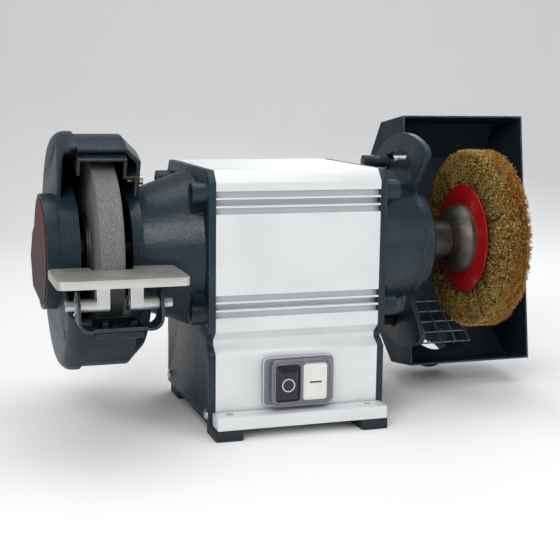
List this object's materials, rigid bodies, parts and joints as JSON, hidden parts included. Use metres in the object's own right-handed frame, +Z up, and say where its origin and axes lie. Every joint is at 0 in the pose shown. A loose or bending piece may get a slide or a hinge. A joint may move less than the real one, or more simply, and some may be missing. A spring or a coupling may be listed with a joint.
{
  "type": "bench grinder",
  "caption": "Double-ended bench grinder with an extruded motor case, a guarded abrasive wheel with a tilting tool rest, and a wire wheel in a swivelling sheet guard.",
  "frame": {"origin": "centre of the four bench bolt holes, on the plane of the undersides of the rubber feet", "axes": "+X along the spindle towards the wire wheel, +Y to the back, +Z up"},
  "size_m": [0.603, 0.3293, 0.329],
  "materials": {
    "casting_paint": "hammered dark blue-grey paint on castings",
    "sheet_paint": "satin dark blue-grey paint on sheet",
    "anodised_case": "matt silver anodised extrusion",
    "cast_rest": "ground cast aluminium",
    "bracket_steel": "plated sheet steel",
    "foot_rubber": "moulded black rubber",
    "black_oxide": "black oxide",
    "zinc_plate": "bright zinc plate",
    "yellow_zinc": "yellow zinc plate",
    "lamination_steel": "stacked laminations",
    "rotor_aluminium": "die-cast and drawn aluminium",
    "copper_wire": "varnished copper wire",
    "ground_steel": "ground bearing steel",
    "flange_steel": "turned steel, lightly oiled",
    "blotter_paper": "pressed paper",
    "bush_plastic": "moulded plastic",
    "abrasive": "vitrified grey grit",
    "red_paint": "gloss red paint",
    "brass_wire": "crimped brass-coated wire",
    "red_badge": "plain red film",
    "mesh_wire": "galvanised wire",
    "black_plastic": "moulded black plastic",
    "grey_plastic": "moulded grey plastic",
    "clear_boot": "soft clear plastic",
    "cream_plastic": "moulded cream plastic"
  },
  "bodies": {
    "root": {"motor_case": "anodised_case", "left_bell": "casting_paint", "right_bell": "casting_paint", "front_bar": "anodised_case", "rear_rail": "anodised_case", "base_plate": "sheet_paint", "rubber_feet": "foot_rubber", "bell_screws": "black_oxide", "base_screws": "zinc_plate", "stator_core": "lamination_steel", "stator_windings": "copper_wire", "capacitor": "rotor_aluminium", "capacitor_clip": "bracket_steel", "bearing_outer_rings": "ground_steel", "wave_washer": "ground_steel", "bearing_cap": "casting_paint", "cable_gland": "black_plastic", "terminal_block": "bush_plastic", "switch_base": "grey_plastic", "switch_body": "black_plastic", "switch_boot": "clear_boot", "wheel_guard": "casting_paint", "guard_cover": "casting_paint", "cover_badge": "red_badge", "guard_screws": "black_oxide", "cover_screws": "zinc_plate", "arrestor_bolt": "yellow_zinc", "bracket_bolts": "black_oxide", "guard_bracket": "casting_paint", "cap_screws": "black_oxide"},
    "rotor": {"shaft": "ground_steel", "rotor_core": "lamination_steel", "rotor_end_rings": "rotor_aluminium", "bearing_inner_rings": "ground_steel", "bearing_balls": "ground_steel", "inner_wheel_flange": "flange_steel", "outer_wheel_flange": "flange_steel", "wheel_blotters": "blotter_paper", "wheel_bush": "bush_plastic", "grinding_wheel": "abrasive", "wheel_nut": "zinc_plate", "spacer_tube": "flange_steel", "inner_brush_collar": "flange_steel", "outer_brush_collar": "zinc_plate", "brush_spool": "red_paint", "brush_wires": "brass_wire", "brush_nut": "zinc_plate"},
    "off_button": {"off_button": "black_plastic"},
    "on_button": {"on_button": "cream_plastic"},
    "rest_bracket": {"rest_bracket": "bracket_steel", "rest_bolts": "zinc_plate"},
    "tool_rest": {"tool_rest": "cast_rest"},
    "spark_arrestor": {"spark_arrestor": "bracket_steel"},
    "brush_guard": {"brush_guard": "sheet_paint", "extraction_spigot": "sheet_paint", "spark_grille": "mesh_wire", "guard_clamp_bolts": "black_plastic", "guard_spacers": "zinc_plate"}
  },
  "joints": [
    {"name": "rotor_spin", "type": "hinge", "parent": "root", "child": "rotor", "pos_m": [0, 0.0165, 0.1865], "axis": [1, 0, 0], "continuous": true},
    {"name": "off_press", "type": "slide", "parent": "root", "child": "off_button", "axis": [0, 1, 0], "range_m": [0, 0.003], "stiffness_N_per_m": 500},
    {"name": "on_press", "type": "slide", "parent": "root", "child": "on_button", "axis": [0, 1, 0], "range_m": [0, 0.003], "stiffness_N_per_m": 500},
    {"name": "bracket_slide", "type": "slide", "parent": "root", "child": "rest_bracket", "axis": [0, -1, 0], "range_m": [0, 0.01]},
    {"name": "rest_tilt", "type": "hinge", "parent": "rest_bracket", "child": "tool_rest", "pos_m": [-0.195, -0.1135, 0.1515], "axis": [1, 0, 0], "range_deg": [0, 35]},
    {"name": "arrestor_slide", "type": "slide", "parent": "root", "child": "spark_arrestor", "axis": [0, -0.3987, 0.9171], "range_m": [-0.008, 0.001]},
    {"name": "guard_swing", "type": "hinge", "parent": "root", "child": "brush_guard", "pos_m": [0, 0.0165, 0.1865], "axis": [1, 0, 0], "range_deg": [0, 30]}
  ]
}
